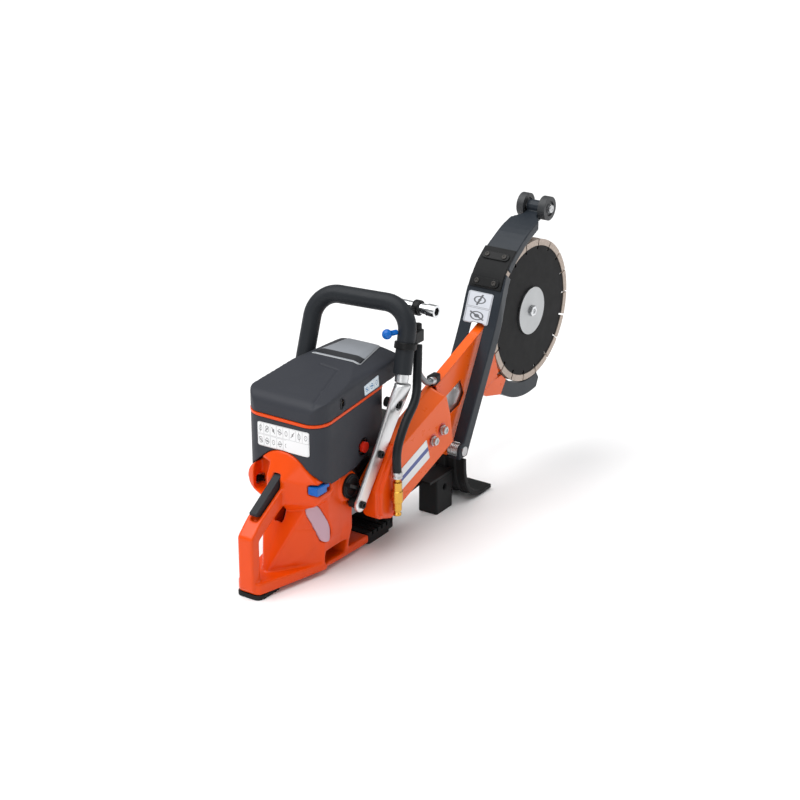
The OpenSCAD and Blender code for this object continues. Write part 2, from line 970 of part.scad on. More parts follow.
module guard_upper() {
    color(charcoal)
        difference() {
            union() {
                guard_strap(5.25, 9, 14, 12);
                rod_y(roller_x, roller_z, cut_y - 12.5, cut_y + 12.5, 10);
            }
            rod_y(roller_x, roller_z, -120, 0, 4.03);
        }
    hinge_leaf(5.25, 6, 5.5);
    roller_axle();
}

// Rubber strip on the guard's outer face and the plate that clamps it
module hinge_leaf(first, last, clamp) {
    color(rubber)
        side_plate(cut_y - 25, cut_y + 25)
            band(curve(guard_knots, first, last), -2.6, -0.1);
    color(black)
        side_plate(cut_y - 22, cut_y + 22)
            band(curve(guard_knots, clamp, clamp + 0.25), -4.8, -2.7);
}

// Fixed leaf of the flexible hinge, and the bead that the upper guard bends about
module guard_hinge() {
    hinge_leaf(4.25, 5, 4.5);
    flex = curve_point(guard_knots, 5, 0.125);
    color(rubber)
        rod_y(flex[0], flex[1], cut_y - 20, cut_y + 20, 1.4);
}

module guard_pivot() {
    color(steel) {
        rod_y(pivot_x, pivot_z, -93, -25, 5);
        rod_y(pivot_x, pivot_z, -93, -91.2, 7.5);
        rod_y(pivot_x, pivot_z, -26.8, -23, 9);
    }
    // Return spring, wound round the pin
    color(steel)
        translate([pivot_x, -84.8, pivot_z])
            rotate([-90, 0, 0])
                rotate_extrude()
                    difference() {
                        union() {
                            translate([7, 0]) square([2, 18]);
                            for (i = [0:5])
                                translate([9, 1.5 + 3 * i]) circle(r = 1.5);
                        }
                        translate([5, -3]) square([9, 3]);
                        translate([5, 18]) square([9, 3]);
                    }
}

module splash_guard() {
    knots = [[397, 79], [398, 58], [404, 36], [418, 17], [442, 7], [474, 6]];
    path = curve(knots, 0, 5);
    color(rubber)
        difference() {
            union() {
                side_plate(cut_y - 35, cut_y + 35) band(path, -2.5, 2.5);
                for (v = [-34, -17, 0, 17, 34])
                    side_plate(cut_y + v - 1.2, cut_y + v + 1.2) band(path, 1, 5);
            }
            translate([380, cut_y - 60, -10]) cube([120, 120, 12]);
        }
}

module roller(x, y, z) {
    color(rubber)
        difference() {
            rod_y(x, z, y, y + roller_w, roller_d / 2);
            rod_y(x, z, y - 1, y + roller_w + 1, 4 + run_fit);
            for (side = [y - 1, y + roller_w - 2])
                difference() {
                    rod_y(x, z, side, side + 3, 12);
                    rod_y(x, z, side - 1, side + 4, 7);
                }
        }
}

module right_roller() {
    roller(roller_x, cut_y - 13 - roller_w, roller_z);
}

module left_roller() {
    roller(roller_x, cut_y + 13, roller_z);
}

module roller_axle() {
    color(steel) {
        rod_y(roller_x, roller_z, cut_y - 27, cut_y + 27, 4);
        for (y = [cut_y - 29, cut_y + 26.5])
            rod_y(roller_x, roller_z, y, y + 2.5, 6.5);
    }
}

// ---------- Front handle ----------

handle_x = 262;
handle_z = 360;
handle_lean = 15;
left_lean = 8;
handle_turn = 7;
half_span = 76;
bend_r = 38;

// One bend and leg of a bent rod, on the left of its top bar
module half_hoop(r, leg) {
    translate([0, half_span - bend_r, -bend_r])
        rotate([0, -90, 0])
            rotate_extrude(angle = 90)
                translate([bend_r, 0]) circle(r = r);
    translate([0, half_span, -bend_r - leg]) cylinder(r = r, h = leg);
}

module on_handle() {
    translate([handle_x, 0, handle_z])
        rotate([0, 0, handle_turn])
            rotate([0, handle_lean, 0])
                children();
}

module bent_rod(r, left_leg, right_leg) {
    translate([0, bend_r - half_span, 0])
        rotate([-90, 0, 0])
            cylinder(r = r, h = 2 * (half_span - bend_r));
    rotate([0, left_lean, 0]) half_hoop(r, left_leg);
    mirror([0, 1, 0]) half_hoop(r, right_leg);
}

module hoop(r, bore, left_leg, right_leg) {
    difference() {
        bent_rod(r, left_leg, right_leg);
        bent_rod(bore, left_leg + 5, right_leg + 5);
    }
}

module front_handle() {
    color(alloy)
        on_handle()
            hoop(tube_d / 2, tube_d / 2 - 2, 71, 72);
    // Grip sleeve
    color(rubber)
        on_handle()
            hoop(grip_d / 2, tube_d / 2 + 0.05, 66, 60);
}

// Bracket bolts as X and Z, with the bushes' inner ends on the right and on the left
bracket_bolts = [[141, 100, 61.1, 57.1], [188, 161, 61.5, 61.5], [232, 223, 60, 60]];
right_bracket = -80;
left_bracket = 76;

// One flat bracket from the foot of the handle down to the tank
module bracket(y0, top) {
    difference() {
        union() {
            hull() {
                rod_y(141, 100, y0, y0 + 6, 11.5, $fn = 32);
                rod_y(188, 161, y0, y0 + 6, 13, $fn = 32);
            }
            hull() {
                rod_y(188, 161, y0, y0 + 6, 13, $fn = 32);
                rod_y(232, 223, y0, y0 + 6, 17, $fn = 32);
            }
            hull() {
                rod_y(232, 223, y0, y0 + 6, 17, $fn = 32);
                translate([top, y0 - 2, 248]) rotate([0, 12, 0]) cylinder(r = 12, h = 4, $fn = 32);
            }
        }
        // Bolt holes, each with a flat seat on both faces
        for (p = bracket_bolts) {
            rod_y(p[0], p[1], y0 - 1, y0 + 7, 3.5);
            rod_y(p[0], p[1], y0 - 20, y0, 8);
            rod_y(p[0], p[1], y0 + 6, y0 + 26, 8);
        }
    }
}

module handle_brackets() {
    color(steel) bracket(right_bracket, 242);
    color(steel) bracket(left_bracket, 226);
}

// Rubber bushes between the brackets and the machine
module handle_mounts() {
    color(rubber)
        for (p = bracket_bolts) {
            bush(p, right_bracket + 6.1, -p[2]);
            bush(p, p[3], left_bracket - 0.1);
        }
}

module bush(p, y0, y1) {
    difference() {
        rod_y(p[0], p[1], y0, y1, 7.5);
        rod_y(p[0], p[1], y0 - 1, y1 + 1, 3.5);
    }
}

module screws() {
    color(black)
        for (p = bracket_bolts) {
            socket_screw(p, -1, right_bracket, p[2]);
            socket_screw(p, 1, left_bracket + 6, p[3]);
        }
}

// Hex socket screw with its head on the side's outer face, reaching in towards the machine
module socket_screw(p, side, face, inner) {
    head = face + side * 0.05;
    tip = side * (p[2] < 60 ? inner - 6 : inner);
    difference() {
        union() {
            rod_y(p[0], p[1], min(head, head + side * 4), max(head, head + side * 4), 5.5);
            rod_y(p[0], p[1], min(tip, head), max(tip, head), 3);
        }
        translate([p[0], head + side * 3, p[1]]) rotate([90, 0, 0])
            cylinder(r = 2.8, h = 4, center = true, $fn = 6);
    }
}

// ---------- Water kit and tool ----------

module water_valve() {
    color(black)
        difference() {
            union() {
                translate([270, -86, 303]) cube([22, 14, 18]);
                translate([285.5, -79, 320]) cylinder(r = 6, h = 10);
                on_handle() translate([0, -half_span, -bend_r - 24]) cylinder(r = grip_d / 2 + 3, h = 10);
            }
            on_handle() translate([0, -half_span, -bend_r - 40]) cylinder(r = grip_d / 2 + 0.05, h = 80);
        }
}

valve_axis = [235, -60, 325];

module valve_lever() {
    color(blue)
        translate(valve_axis)
            rotate([0, 0, -22])
                rotate([0, 90, 0]) {
                    sphere(r = 7.5);
                    cylinder(r = 4, h = 17);
                }
}

module hose_run(points, r) {
    for (i = [0:len(points) - 2])
        hull() {
            translate(points[i]) sphere(r = r, $fn = 16);
            translate(points[i + 1]) sphere(r = r, $fn = 16);
        }
}

module water_hoses() {
    color(black)
        hose_run([[283, -81, 296], [274, -86, 258], [254, -96, 228], [222, -99, 200],
            [199, -101.5, 168], [199, -101.5, 131.6]], 6.5);
    color(alloy)
        hose_run([[291, -70, 297], [294, -68, 280], [304, -68, 248], [326, -68, 223], [352, -67, 219]], 4.5);
}

module quick_connector() {
    color(brass)
        translate([199, -101.5, 67])
            rotate_extrude()
                polygon([[0, 0], [6, 0], [6, 3], [5, 4], [5, 7], [6.8, 8], [6.8, 20], [8.5, 21],
                    [8.5, 38], [7, 39], [7, 52], [4, 53], [4, 58], [0, 58]]);
}

module spanner() {
    color(steel)
        translate([295, -105, 350]) rotate([-90, 0, 0])
            difference() {
                union() {
                    cylinder(r = 8, h = 96);
                    cylinder(r = 9.5, h = 14);
                }
                translate([0, 0, -1]) cylinder(r = 6.5, h = 12, $fn = 6);
                translate([0, 0, 10]) cylinder(r = 6, h = 90);
            }
}

// ---------- Build ----------

fuel_tank();
rubber_feet();
fuel_cap();
fuel_window();
throttle_trigger();
trigger_lockout();
choke_knob();
stop_switch();
cylinder_cover();
cover_trim();
air_filter_cover();
air_filter();
carburettor();
throttle_shaft();
intake_boot();
cylinder_block();
piston();
connecting_rod();
crankshaft();
crankcase();
bearings();
flywheel();
ignition_module();
spark_plug();
decompression_valve();
muffler();
belly_skid();
starter_housing();
starter_pulley();
starter_handle();
clutch();
clutch_drum();
clutch_cover();
bar_bracket();
drive_belt();
belt_guard();
bar_nuts();
cutting_arm();
arm_cover();
hub_shaft();
right_blade();
left_blade();
blade_flanges();
hook_guard();
guard_lower();
guard_upper();
guard_hinge();
guard_pivot();
splash_guard();
right_roller();
left_roller();
front_handle();
handle_brackets();
handle_mounts();
screws();
water_valve();
valve_lever();
water_hoses();
quick_connector();
spanner();
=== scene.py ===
"""Looks of the rescue saw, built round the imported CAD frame. Lengths are millimetres until MM scales them."""

import math

import bmesh
import bpy
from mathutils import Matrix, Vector


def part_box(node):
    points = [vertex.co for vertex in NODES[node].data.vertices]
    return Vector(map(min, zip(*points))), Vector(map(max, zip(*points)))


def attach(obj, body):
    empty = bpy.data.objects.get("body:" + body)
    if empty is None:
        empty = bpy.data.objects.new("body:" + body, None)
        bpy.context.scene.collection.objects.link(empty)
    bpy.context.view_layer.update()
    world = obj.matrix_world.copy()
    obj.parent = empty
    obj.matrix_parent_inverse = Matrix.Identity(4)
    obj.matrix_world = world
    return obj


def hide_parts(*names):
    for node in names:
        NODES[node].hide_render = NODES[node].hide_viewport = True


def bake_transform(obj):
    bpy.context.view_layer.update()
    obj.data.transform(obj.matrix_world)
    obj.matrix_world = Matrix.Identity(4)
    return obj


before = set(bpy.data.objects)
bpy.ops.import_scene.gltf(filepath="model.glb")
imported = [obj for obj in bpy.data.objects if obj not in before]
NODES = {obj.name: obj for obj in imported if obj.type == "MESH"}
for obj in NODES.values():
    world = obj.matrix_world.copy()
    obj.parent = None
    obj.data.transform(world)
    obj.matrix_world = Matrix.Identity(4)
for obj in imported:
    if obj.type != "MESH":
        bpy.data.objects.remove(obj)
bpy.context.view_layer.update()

MM = 0.001
# Points closer than this, in metres, count as one when a mesh is split into its solids
WELD = 1e-6
SCENE = bpy.context.scene
RIGHT = Vector((0, -1, 0))
LEFT = Vector((0, 1, 0))
UP = Vector((0, 0, 1))


def corner(node, low=True):
    """A CAD node's lowest or highest corner in millimetres."""
    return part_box(node)[0 if low else 1] / MM


def middle(node):
    """The middle of a CAD node's box in millimetres."""
    return (corner(node) + corner(node, False)) / 2


# ---------- Node trees ----------


class Paint:
    """A material whose nodes are added with short calls."""

    def __init__(self, name):
        self.material = bpy.data.materials.new(name)
        self.material.use_nodes = True
        self.tree = self.material.node_tree
        self.shader = self.tree.nodes["Principled BSDF"]
        self.place = self.add("ShaderNodeTexCoord").outputs["Object"]

    def add(self, kind, inputs=None, **settings):
        made = self.tree.nodes.new(kind)
        for key, value in settings.items():
            setattr(made, key, value)
        for key, value in (inputs or {}).items():
            self.put(made.inputs[key], value)
        return made

    def put(self, socket, value):
        if isinstance(value, bpy.types.NodeSocket):
            self.tree.links.new(value, socket)
        else:
            socket.default_value = value

    def set(self, key, value):
        self.put(self.shader.inputs[key], value)

    def math(self, operation, a, b=0.0, c=0.0, clamp=False):
        made = self.add("ShaderNodeMath", {0: a, 1: b, 2: c}, operation=operation, use_clamp=clamp)
        return made.outputs[0]

    def noise(self, scale, detail=3.0, rough=0.55, stretch=None):
        place = self.place
        if stretch:
            place = self.add("ShaderNodeMapping", {"Vector": self.place, "Scale": stretch}).outputs[0]
        made = self.add("ShaderNodeTexNoise", {"Vector": place, "Scale": scale, "Detail": detail,
                                               "Roughness": rough})
        return made.outputs["Fac"]

    def step(self, value, low, high, to_low=0.0, to_high=1.0):
        """value's run from low to high, as a smooth run from to_low to to_high."""
        made = self.add("ShaderNodeMapRange", {0: value, 1: low, 2: high, 3: to_low, 4: to_high},
                        interpolation_type="SMOOTHSTEP")
        return made.outputs[0]

    def mix(self, share, a, b):
        made = self.add("ShaderNodeMix", data_type="RGBA")
        self.put(made.inputs[0], share)
        self.put(made.inputs[6], a)
        self.put(made.inputs[7], b)
        return made.outputs[2]

    def vector(self, operation, a, b=(0, 0, 0), result=0):
        return self.add("ShaderNodeVectorMath", {0: a, 1: b}, operation=operation).outputs[result]

    def from_axis(self, centre):
        """The distance in metres from the axis that runs along Y through centre."""
        offset = self.vector("SUBTRACT", self.place, Vector(centre) * MM)
        return self.vector("LENGTH", self.vector("MULTIPLY", offset, (1, 0, 1)), result="Value")

    def edges(self, radius=1.2):
        """A mask that is 1 along sharp outer edges."""
        bevel = self.add("ShaderNodeBevel", {"Radius": radius * MM}, samples=4).outputs[0]
        normal = self.add("ShaderNodeNewGeometry").outputs["Normal"]
        return self.step(self.vector("DOT_PRODUCT", bevel, normal, "Value"), 0.995, 0.86)

    def bump(self, height, strength, depth, radius=0.7):
        """Relief on top of corners that are rounded off by the bevel radius."""
        inputs = {"Height": height, "Strength": strength, "Distance": depth * MM}
        if radius:
            inputs["Normal"] = self.add("ShaderNodeBevel", {"Radius": radius * MM}, samples=4).outputs[0]
        self.set("Normal", self.add("ShaderNodeBump", inputs).outputs[0])


def rgb(red, green, blue):
    """An sRGB colour from 0 to 255 as the linear colour that a node takes."""
    def linear(c):
        c /= 255
        return c / 12.92 if c <= 0.04045 else ((c + 0.055) / 1.055) ** 2.4
    return (linear(red), linear(green), linear(blue), 1.0)


def shade(colour, factor):
    """A colour made lighter or darker."""
    return tuple(min(1.0, c * factor) for c in colour[:3]) + (1.0,)


def finish(name, colour, rough, metal=0.0, coat=0.0, grain=(1500, 0.12), worn=None, wear=0.35, radius=0.7,
           mottle=0.12, shine=0.5):
    """Coloured material with mottling, fine grain, uneven gloss and worn edges."""
    p = Paint(name)
    p.set("Specular IOR Level", shine)
    broad = p.noise(14, 4)
    fine = p.noise(grain[0], 2)
    base = p.mix(broad, shade(colour, 1 - mottle), shade(colour, 1 + mottle))
    scuffs = p.step(p.noise(60, 6, 0.7), 0.52, 0.75)
    mask = p.math("MULTIPLY", p.math("MULTIPLY", p.edges(), scuffs), wear)
    p.set("Base Color", p.mix(mask, base, worn or shade(colour, 1.8)))
    dull = p.math("MULTIPLY_ADD", p.noise(35, 5, 0.65), 0.22, rough - 0.11)
    p.set("Roughness", p.math("MULTIPLY_ADD", mask, 0.15, dull, clamp=True))
    p.set("Metallic", metal)
    p.set("Coat Weight", coat)
    p.set("Coat Roughness", 0.12)
    p.bump(fine, grain[1], 0.06, radius)
    return p.material


def brushed(name, colour, rough, stretch, wear=0.2, radius=0.5):
    """Metal with fine directional scratches."""
    p = Paint(name)
    lines = p.noise(900, 3, 0.6, stretch)
    stains = p.noise(25, 5)
    p.set("Base Color", p.mix(stains, shade(colour, 0.8), shade(colour, 1.08)))
    p.set("Metallic", 1.0)
    p.set("Roughness", p.math("MULTIPLY_ADD", lines, 0.25, rough - 0.1, clamp=True))
    p.bump(lines, 0.12 + wear, 0.03, radius)
    return p.material


def turned(name, colour, rough, centre, rings=1400):
    """Lathe-turned metal: fine rings, so many to the metre, round a Y axis through centre."""
    p = Paint(name)
    wave = p.math("SINE", p.math("MULTIPLY_ADD", p.from_axis(centre), rings * 2 * math.pi, p.noise(40)))
    p.set("Base Color", p.mix(p.noise(30, 5), shade(colour, 0.85), shade(colour, 1.08)))
    p.set("Metallic", 1.0)
    p.set("Roughness", p.math("MULTIPLY_ADD", p.noise(120, 5), 0.2, rough - 0.1, clamp=True))
    p.bump(wave, 0.25, 0.02, 0.6)
    return p.material


ORANGE = rgb(226, 72, 0)
CHARCOAL = rgb(52, 54, 60)
orange_plastic = finish("orange_plastic", ORANGE, 0.34, coat=0.08, grain=(900, 0.05), mottle=0.05, shine=0.25,
                        worn=rgb(250, 150, 90), wear=0.3, radius=1.4)
orange_paint = finish("orange_paint", rgb(236, 92, 2), 0.3, coat=0.15, shine=0.3, grain=(500, 0.05),
                      mottle=0.05, worn=rgb(190, 120, 84), wear=0.2, radius=1.0)
charcoal_plastic = finish("charcoal_plastic", CHARCOAL, 0.50, grain=(2600, 0.35), mottle=0.1, radius=1.4,
                          shine=0.2)
charcoal_paint = finish("charcoal_paint", rgb(38, 44, 51), 0.4, coat=0.08, grain=(1800, 0.22),
                        worn=rgb(120, 124, 128), wear=0.5, radius=1.2, shine=0.2)
black_plastic = finish("black_plastic", rgb(20, 21, 22), 0.42, grain=(1600, 0.2), shine=0.2)
black_rubber = finish("black_rubber", rgb(24, 25, 26), 0.6, grain=(700, 0.35), mottle=0.2, shine=0.2)
grip_rubber = finish("grip_rubber", rgb(36, 39, 43), 0.46, grain=(2200, 0.4), mottle=0.08, radius=1.0,
                     shine=0.2)
hose_rubber = finish("hose_rubber", rgb(28, 31, 34), 0.42, grain=(400, 0.25), mottle=0.15, shine=0.2)
grey_hose = finish("grey_hose", rgb(96, 103, 108), 0.24, coat=0.5, grain=(300, 0.1), mottle=0.08)
blue_plastic = finish("blue_plastic", rgb(4, 98, 186), 0.3, coat=0.15, shine=0.3, grain=(800, 0.06),
                      radius=1.2)
red_plastic = finish("red_plastic", rgb(212, 40, 22), 0.3, coat=0.4, grain=(800, 0.06))
cast_alloy = finish("cast_alloy", rgb(150, 153, 156), 0.48, metal=0.9, grain=(700, 0.45), mottle=0.12)
dark_steel = finish("dark_steel", rgb(74, 72, 70), 0.5, metal=0.85, grain=(500, 0.4), mottle=0.25)
filter_paper = finish("filter_paper", rgb(204, 182, 140), 0.85, grain=(1200, 0.6))
bright_alloy = brushed("bright_alloy", rgb(226, 227, 228), 0.36, (0.35, 1, 2.5), 0.1, radius=2.0)
bright_steel = brushed("bright_steel", rgb(196, 197, 198), 0.3, (1, 0.4, 1))
chrome_plate = brushed("chrome_plate", rgb(222, 224, 226), 0.16, (1, 0.15, 1), 0.02, radius=1.0)
brass = brushed("brass", rgb(214, 164, 74), 0.24, (1, 1, 0.3), 0.05, radius=0.6)
window_white = finish("window_white", rgb(188, 150, 164), 0.22, coat=0.5, grain=(600, 0.05), mottle=0.06)

BLADE = middle("right_blade")
# How far the segments reach in from the blade's rim, and the radius of a guide roller's bearing
SEGMENT_DEPTH = 10
BEARING_RADIUS = 7


def blade_finish():
    """Black coated core, and bare gritty beige metal on the segments round its rim."""
    p = Paint("blade")
    core_radius = corner("right_blade", False).z - BLADE.z - SEGMENT_DEPTH
    bare = p.step(p.from_axis(BLADE), (core_radius - 0.5) * MM, (core_radius + 0.5) * MM)
    coarse = p.noise(420, 6, 0.7)
    core = p.mix(p.noise(16, 4), rgb(7, 7, 8), rgb(13, 13, 15))
    grit = p.mix(coarse, rgb(142, 128, 118), rgb(214, 200, 188))
    p.set("Base Color", p.mix(bare, core, grit))
    p.set("Metallic", p.math("MULTIPLY", bare, 0.65))
    p.set("Specular IOR Level", 0.12)
    dull = p.math("MULTIPLY_ADD", bare, -0.02, 0.42)
    p.set("Roughness", p.math("MULTIPLY_ADD", p.noise(60, 5), 0.15, dull))
    height = p.math("MULTIPLY", coarse, p.math("MULTIPLY_ADD", bare, 0.9, 0.1))
    p.bump(height, 0.5, 0.15, 0.3)
    return p.material


def roller_finish(node):
    """Dark tyre round a turned steel bearing."""
    p = Paint(node + "_finish")
    rubber = p.step(p.from_axis(middle(node)), (BEARING_RADIUS - 0.2) * MM, (BEARING_RADIUS + 0.2) * MM)
    steel = p.math("SUBTRACT", 1.0, rubber)
    tyre = p.mix(p.noise(40, 4), rgb(38, 40, 42), rgb(52, 54, 57))
    p.set("Base Color", p.mix(steel, tyre, rgb(170, 172, 174)))
    p.set("Metallic", steel)
    p.set("Roughness", p.math("MULTIPLY_ADD", p.noise(80, 4), 0.2, 0.38))
    p.bump(p.noise(900, 3), 0.25, 0.05, 0.8)
    return p.material


blade_black = blade_finish()
flange_steel = turned("flange_steel", rgb(178, 180, 181), 0.34, BLADE)
hub_steel = turned("hub_steel", rgb(176, 178, 180), 0.32, BLADE)

CAD_FINISH = {
    "rubber_feet": black_rubber, "fuel_cap": black_plastic, "throttle_trigger": black_plastic,
    "trigger_lockout": grip_rubber, "choke_knob": blue_plastic, "stop_switch": black_plastic,
    "cover_trim": orange_plastic, "air_filter": filter_paper, "carburettor": cast_alloy,
    "throttle_shaft": brass, "intake_boot": black_rubber, "cylinder_block": cast_alloy,
    "piston": cast_alloy, "connecting_rod": bright_steel, "crankshaft": bright_steel,
    "crankcase": cast_alloy, "bearings": bright_steel, "flywheel": cast_alloy,
    "ignition_module": black_plastic, "spark_plug": bright_steel, "decompression_valve": red_plastic,
    "muffler": dark_steel, "belly_skid": black_rubber, "starter_housing": charcoal_plastic,
    "starter_pulley": black_plastic, "starter_handle": black_plastic, "clutch": bright_steel,
    "clutch_drum": bright_steel, "clutch_cover": orange_plastic, "bar_bracket": black_plastic,
    "drive_belt": black_rubber, "belt_guard": orange_paint, "bar_nuts": bright_steel,
    "cutting_arm": orange_paint, "arm_cover": orange_paint, "hub_shaft": hub_steel,
    "right_blade": blade_black, "left_blade": blade_black, "blade_flanges": flange_steel,
    "hook_guard": charcoal_paint, "guard_lower": charcoal_paint, "guard_upper": charcoal_paint,
    "guard_hinge": black_rubber, "guard_pivot": bright_steel, "splash_guard": black_rubber,
    "right_roller": roller_finish("right_roller"), "left_roller": roller_finish("left_roller"),
    "front_handle": grip_rubber, "handle_brackets": bright_alloy, "handle_mounts": black_rubber,
    "screws": black_plastic, "water_valve": black_plastic, "valve_lever": blue_plastic,
    "water_hoses": hose_rubber, "quick_connector": brass, "spanner": chrome_plate,
    "fuel_tank": orange_plastic, "fuel_window": window_white, "cylinder_cover": charcoal_plastic,
    "air_filter_cover": charcoal_plastic,
}
for node_name, node_finish in CAD_FINISH.items():
    mesh = NODES[node_name].data
    mesh.materials.clear()
    mesh.materials.append(node_finish)


# ---------- Mesh helpers ----------


def bridge(build, rings, closed=False):
    """Joins each ring of points to the next, and caps both ends, or joins the last to the first if closed."""
    for a, b in zip(rings, rings[1:] + (rings[:1] if closed else [])):
        for i in range(len(a)):
            j = (i + 1) % len(a)
            build.faces.new((a[i], a[j], b[j], b[i]))
    if not closed:
        build.faces.new(rings[0][::-1])
        build.faces.new(rings[-1])
    bmesh.ops.recalc_face_normals(build, faces=build.faces)


def put(name, build, material, smooth=True):
    """A new object that takes over a bmesh, linked and finished."""
    mesh = bpy.data.meshes.new(name)
    build.to_mesh(mesh)
    build.free()
    mesh.materials.append(material)
    piece = bpy.data.objects.new(name, mesh)
    SCENE.collection.objects.link(piece)
    for face in mesh.polygons:
        face.use_smooth = smooth
    return piece


def bake(piece):
    """Turns a piece's modifiers into plain mesh."""
    bpy.context.view_layer.update()
    ready = piece.evaluated_get(bpy.context.evaluated_depsgraph_get())
    mesh = bpy.data.meshes.new_from_object(ready)
    piece.modifiers.clear()
    piece.data = mesh
    return piece


def add_modifier(piece, kind, **settings):
    made = piece.modifiers.new(kind.lower(), kind)
    for key, value in settings.items():
        setattr(made, key, value)
    return made


def islands(build):
    """The separate solids of a bmesh, each as its faces, its lowest corner and its highest corner in mm."""
    left = set(build.faces)
    found = []
    while left:
        queue = [left.pop()]
        faces = []
        while queue:
            face = queue.pop()
            faces.append(face)
            for vertex in face.verts:
                for near in vertex.link_faces:
                    if near in left:
                        left.remove(near)
                        queue.append(near)
        spots = [v.co / MM for f in faces for v in f.verts]
        low = Vector([min(p[i] for p in spots) for i in range(3)])
        high = Vector([max(p[i] for p in spots) for i in range(3)])
        found.append((faces, low, high))
    return found


def second_finish(node, material, chosen):
    """Gives a CAD node's faces a second material where chosen(face centre) says so."""
    mesh = NODES[node].data
    mesh.materials.append(material)
    for face in mesh.polygons:
        face.material_index = 1 if chosen(face.center / MM) else 0


def second_solids(node, material, chosen):
    """Gives whole solids of a CAD node a second material where chosen(low corner, high corner) says so."""
    mesh = NODES[node].data
    mesh.materials.append(material)
    probe = bmesh.new()
    probe.from_mesh(mesh)
    order = {face: i for i, face in enumerate(probe.faces)}
    bmesh.ops.remove_doubles(probe, verts=probe.verts, dist=WELD)
    for faces, low, high in islands(probe):
        for face in faces:
            mesh.polygons[order[face]].material_index = int(chosen(low, high))
    probe.free()


def moulded(name, node, body, material, voxel=1.6, soften=6, shape=None, keep=None):
    """A skin with soft corners that stands for a CAD node.

    keep(low corner, high corner) picks which of the node's solids it covers, and shape(spot, normal) then
    moves each of its points. voxel is the size of the remeshing grid, and soften the number of smoothings.
    """
    build = bmesh.new()
    build.from_mesh(NODES[node].data)
    if keep:
        bmesh.ops.remove_doubles(build, verts=build.verts, dist=WELD)
        spare = [f for faces, low, high in islands(build) if not keep(low, high) for f in faces]
        bmesh.ops.delete(build, geom=spare, context="FACES")
    piece = put(name, build, material)
    add_modifier(piece, "REMESH", mode="VOXEL", voxel_size=voxel * MM)
    add_modifier(piece, "SMOOTH", iterations=soften, factor=0.5)
    bake(piece)
    if shape:
        rest = [(vertex.co / MM, vertex.normal.copy()) for vertex in piece.data.vertices]
        for vertex, (spot, normal) in zip(piece.data.vertices, rest):
            vertex.co = shape(spot, normal) * MM
    for face in piece.data.polygons:
        face.use_smooth = True
    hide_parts(node)
    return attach(piece, body)


def frame_axes(axis):
    """A turn that takes +Z to axis."""
    return Vector(axis).normalized().to_track_quat("Z", "Y").to_matrix()


def lathe(name, profile, centre, axis, material, body, steps=48, smooth=True, hollow=False):
    """A profile of (radius, height) points turned about axis through centre, closed on itself if hollow."""
    build = bmesh.new()
    turn = frame_axes(axis)
    rings = []
    for radius, height in profile:
        ring = []
        for i in range(steps):
            angle = 2 * math.pi * i / steps
            spot = Vector((radius * math.cos(angle), radius * math.sin(angle), height))
            ring.append(build.verts.new((Vector(centre) + turn @ spot) * MM))
        rings.append(ring)
    bridge(build, rings, closed=hollow)
    piece = put(name, build, material, smooth)
    if smooth:
        add_modifier(piece, "BEVEL", width=0.3 * MM, segments=2, angle_limit=math.radians(35))
        bake(piece)
    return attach(piece, body)


def spline(points, steps=10):
    """Points of a smooth curve through the given points."""
    knots = [Vector(p) for p in points]
    knots = [2 * knots[0] - knots[1]] + knots + [2 * knots[-1] - knots[-2]]
    path = []
    for a, b, c, d in zip(knots, knots[1:], knots[2:], knots[3:]):
        for i in range(steps):
            u = i / steps
            path.append(0.5 * (2 * b + u * (c - a) + u * u * (2 * a - 5 * b + 4 * c - d)
                               + u ** 3 * (3 * b - 3 * c + d - a)))
    return path + [knots[-2]]


def tube(name, points, radius, material, body, sides=24, rib=0.0):
    """A round hose along a smooth curve, with fine moulded ribs if rib is above 0."""
    path = spline(points)
    build = bmesh.new()
    rings = []
    side = Vector((0, 1, 0))
    for i, spot in enumerate(path):
        along = (path[min(i + 1, len(path) - 1)] - path[max(i - 1, 0)]).normalized()
        side = (side - along * side.dot(along)).normalized()
        up = along.cross(side)
        wide = radius + (rib if i % 2 else 0.0)
        rings.append([build.verts.new((spot + wide * (math.cos(a) * side + math.sin(a) * up)) * MM)
                      for a in [2 * math.pi * k / sides for k in range(sides)]])
    bridge(build, rings)
    piece = put(name, build, material)
    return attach(piece, body) if body else piece


def panel(name, corners, material, body, target=None, rounding=3.0, lift=0.35, thick=0.4, cells=28):
    """A thin rounded sheet between four corners, wrapped on target.

    The corners are low left, low right, high right and high left.
    """
    a, b, c, d = [Vector(p) for p in corners]
    wide, tall = (b - a).length, (d - a).length
    build = bmesh.new()
    layer = build.loops.layers.uv.new("label")
    grid, flat = [], {}
    for i in range(cells + 1):
        row = []
        for j in range(cells + 1):
            x, y = wide * (j / cells - 0.5), tall * (i / cells - 0.5)
            over_x, over_y = abs(x) - wide / 2 + rounding, abs(y) - tall / 2 + rounding
            if over_x > 0 and over_y > 0:
                reach = math.hypot(over_x, over_y)
                if reach > rounding:
                    x = math.copysign(wide / 2 - rounding + over_x * rounding / reach, x)
                    y = math.copysign(tall / 2 - rounding + over_y * rounding / reach, y)
            u, v = x / wide + 0.5, y / tall + 0.5
            spot = a.lerp(b, u).lerp(d.lerp(c, u), v)
            vertex = build.verts.new(spot * MM)
            flat[vertex] = (u, v)
            row.append(vertex)
        grid.append(row)
    for i in range(cells):
        for j in range(cells):
            face = build.faces.new((grid[i][j], grid[i][j + 1], grid[i + 1][j + 1], grid[i + 1][j]))
            for loop in face.loops:
                loop[layer].uv = flat[loop.vert]
    piece = put(name, build, material)
    if target:
        add_modifier(piece, "SHRINKWRAP", target=target, wrap_method="NEAREST_SURFACEPOINT",
                     wrap_mode="ABOVE_SURFACE", offset=lift * MM)
    add_modifier(piece, "SOLIDIFY", thickness=thick * MM, offset=0)
    bake(piece)
    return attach(piece, body)


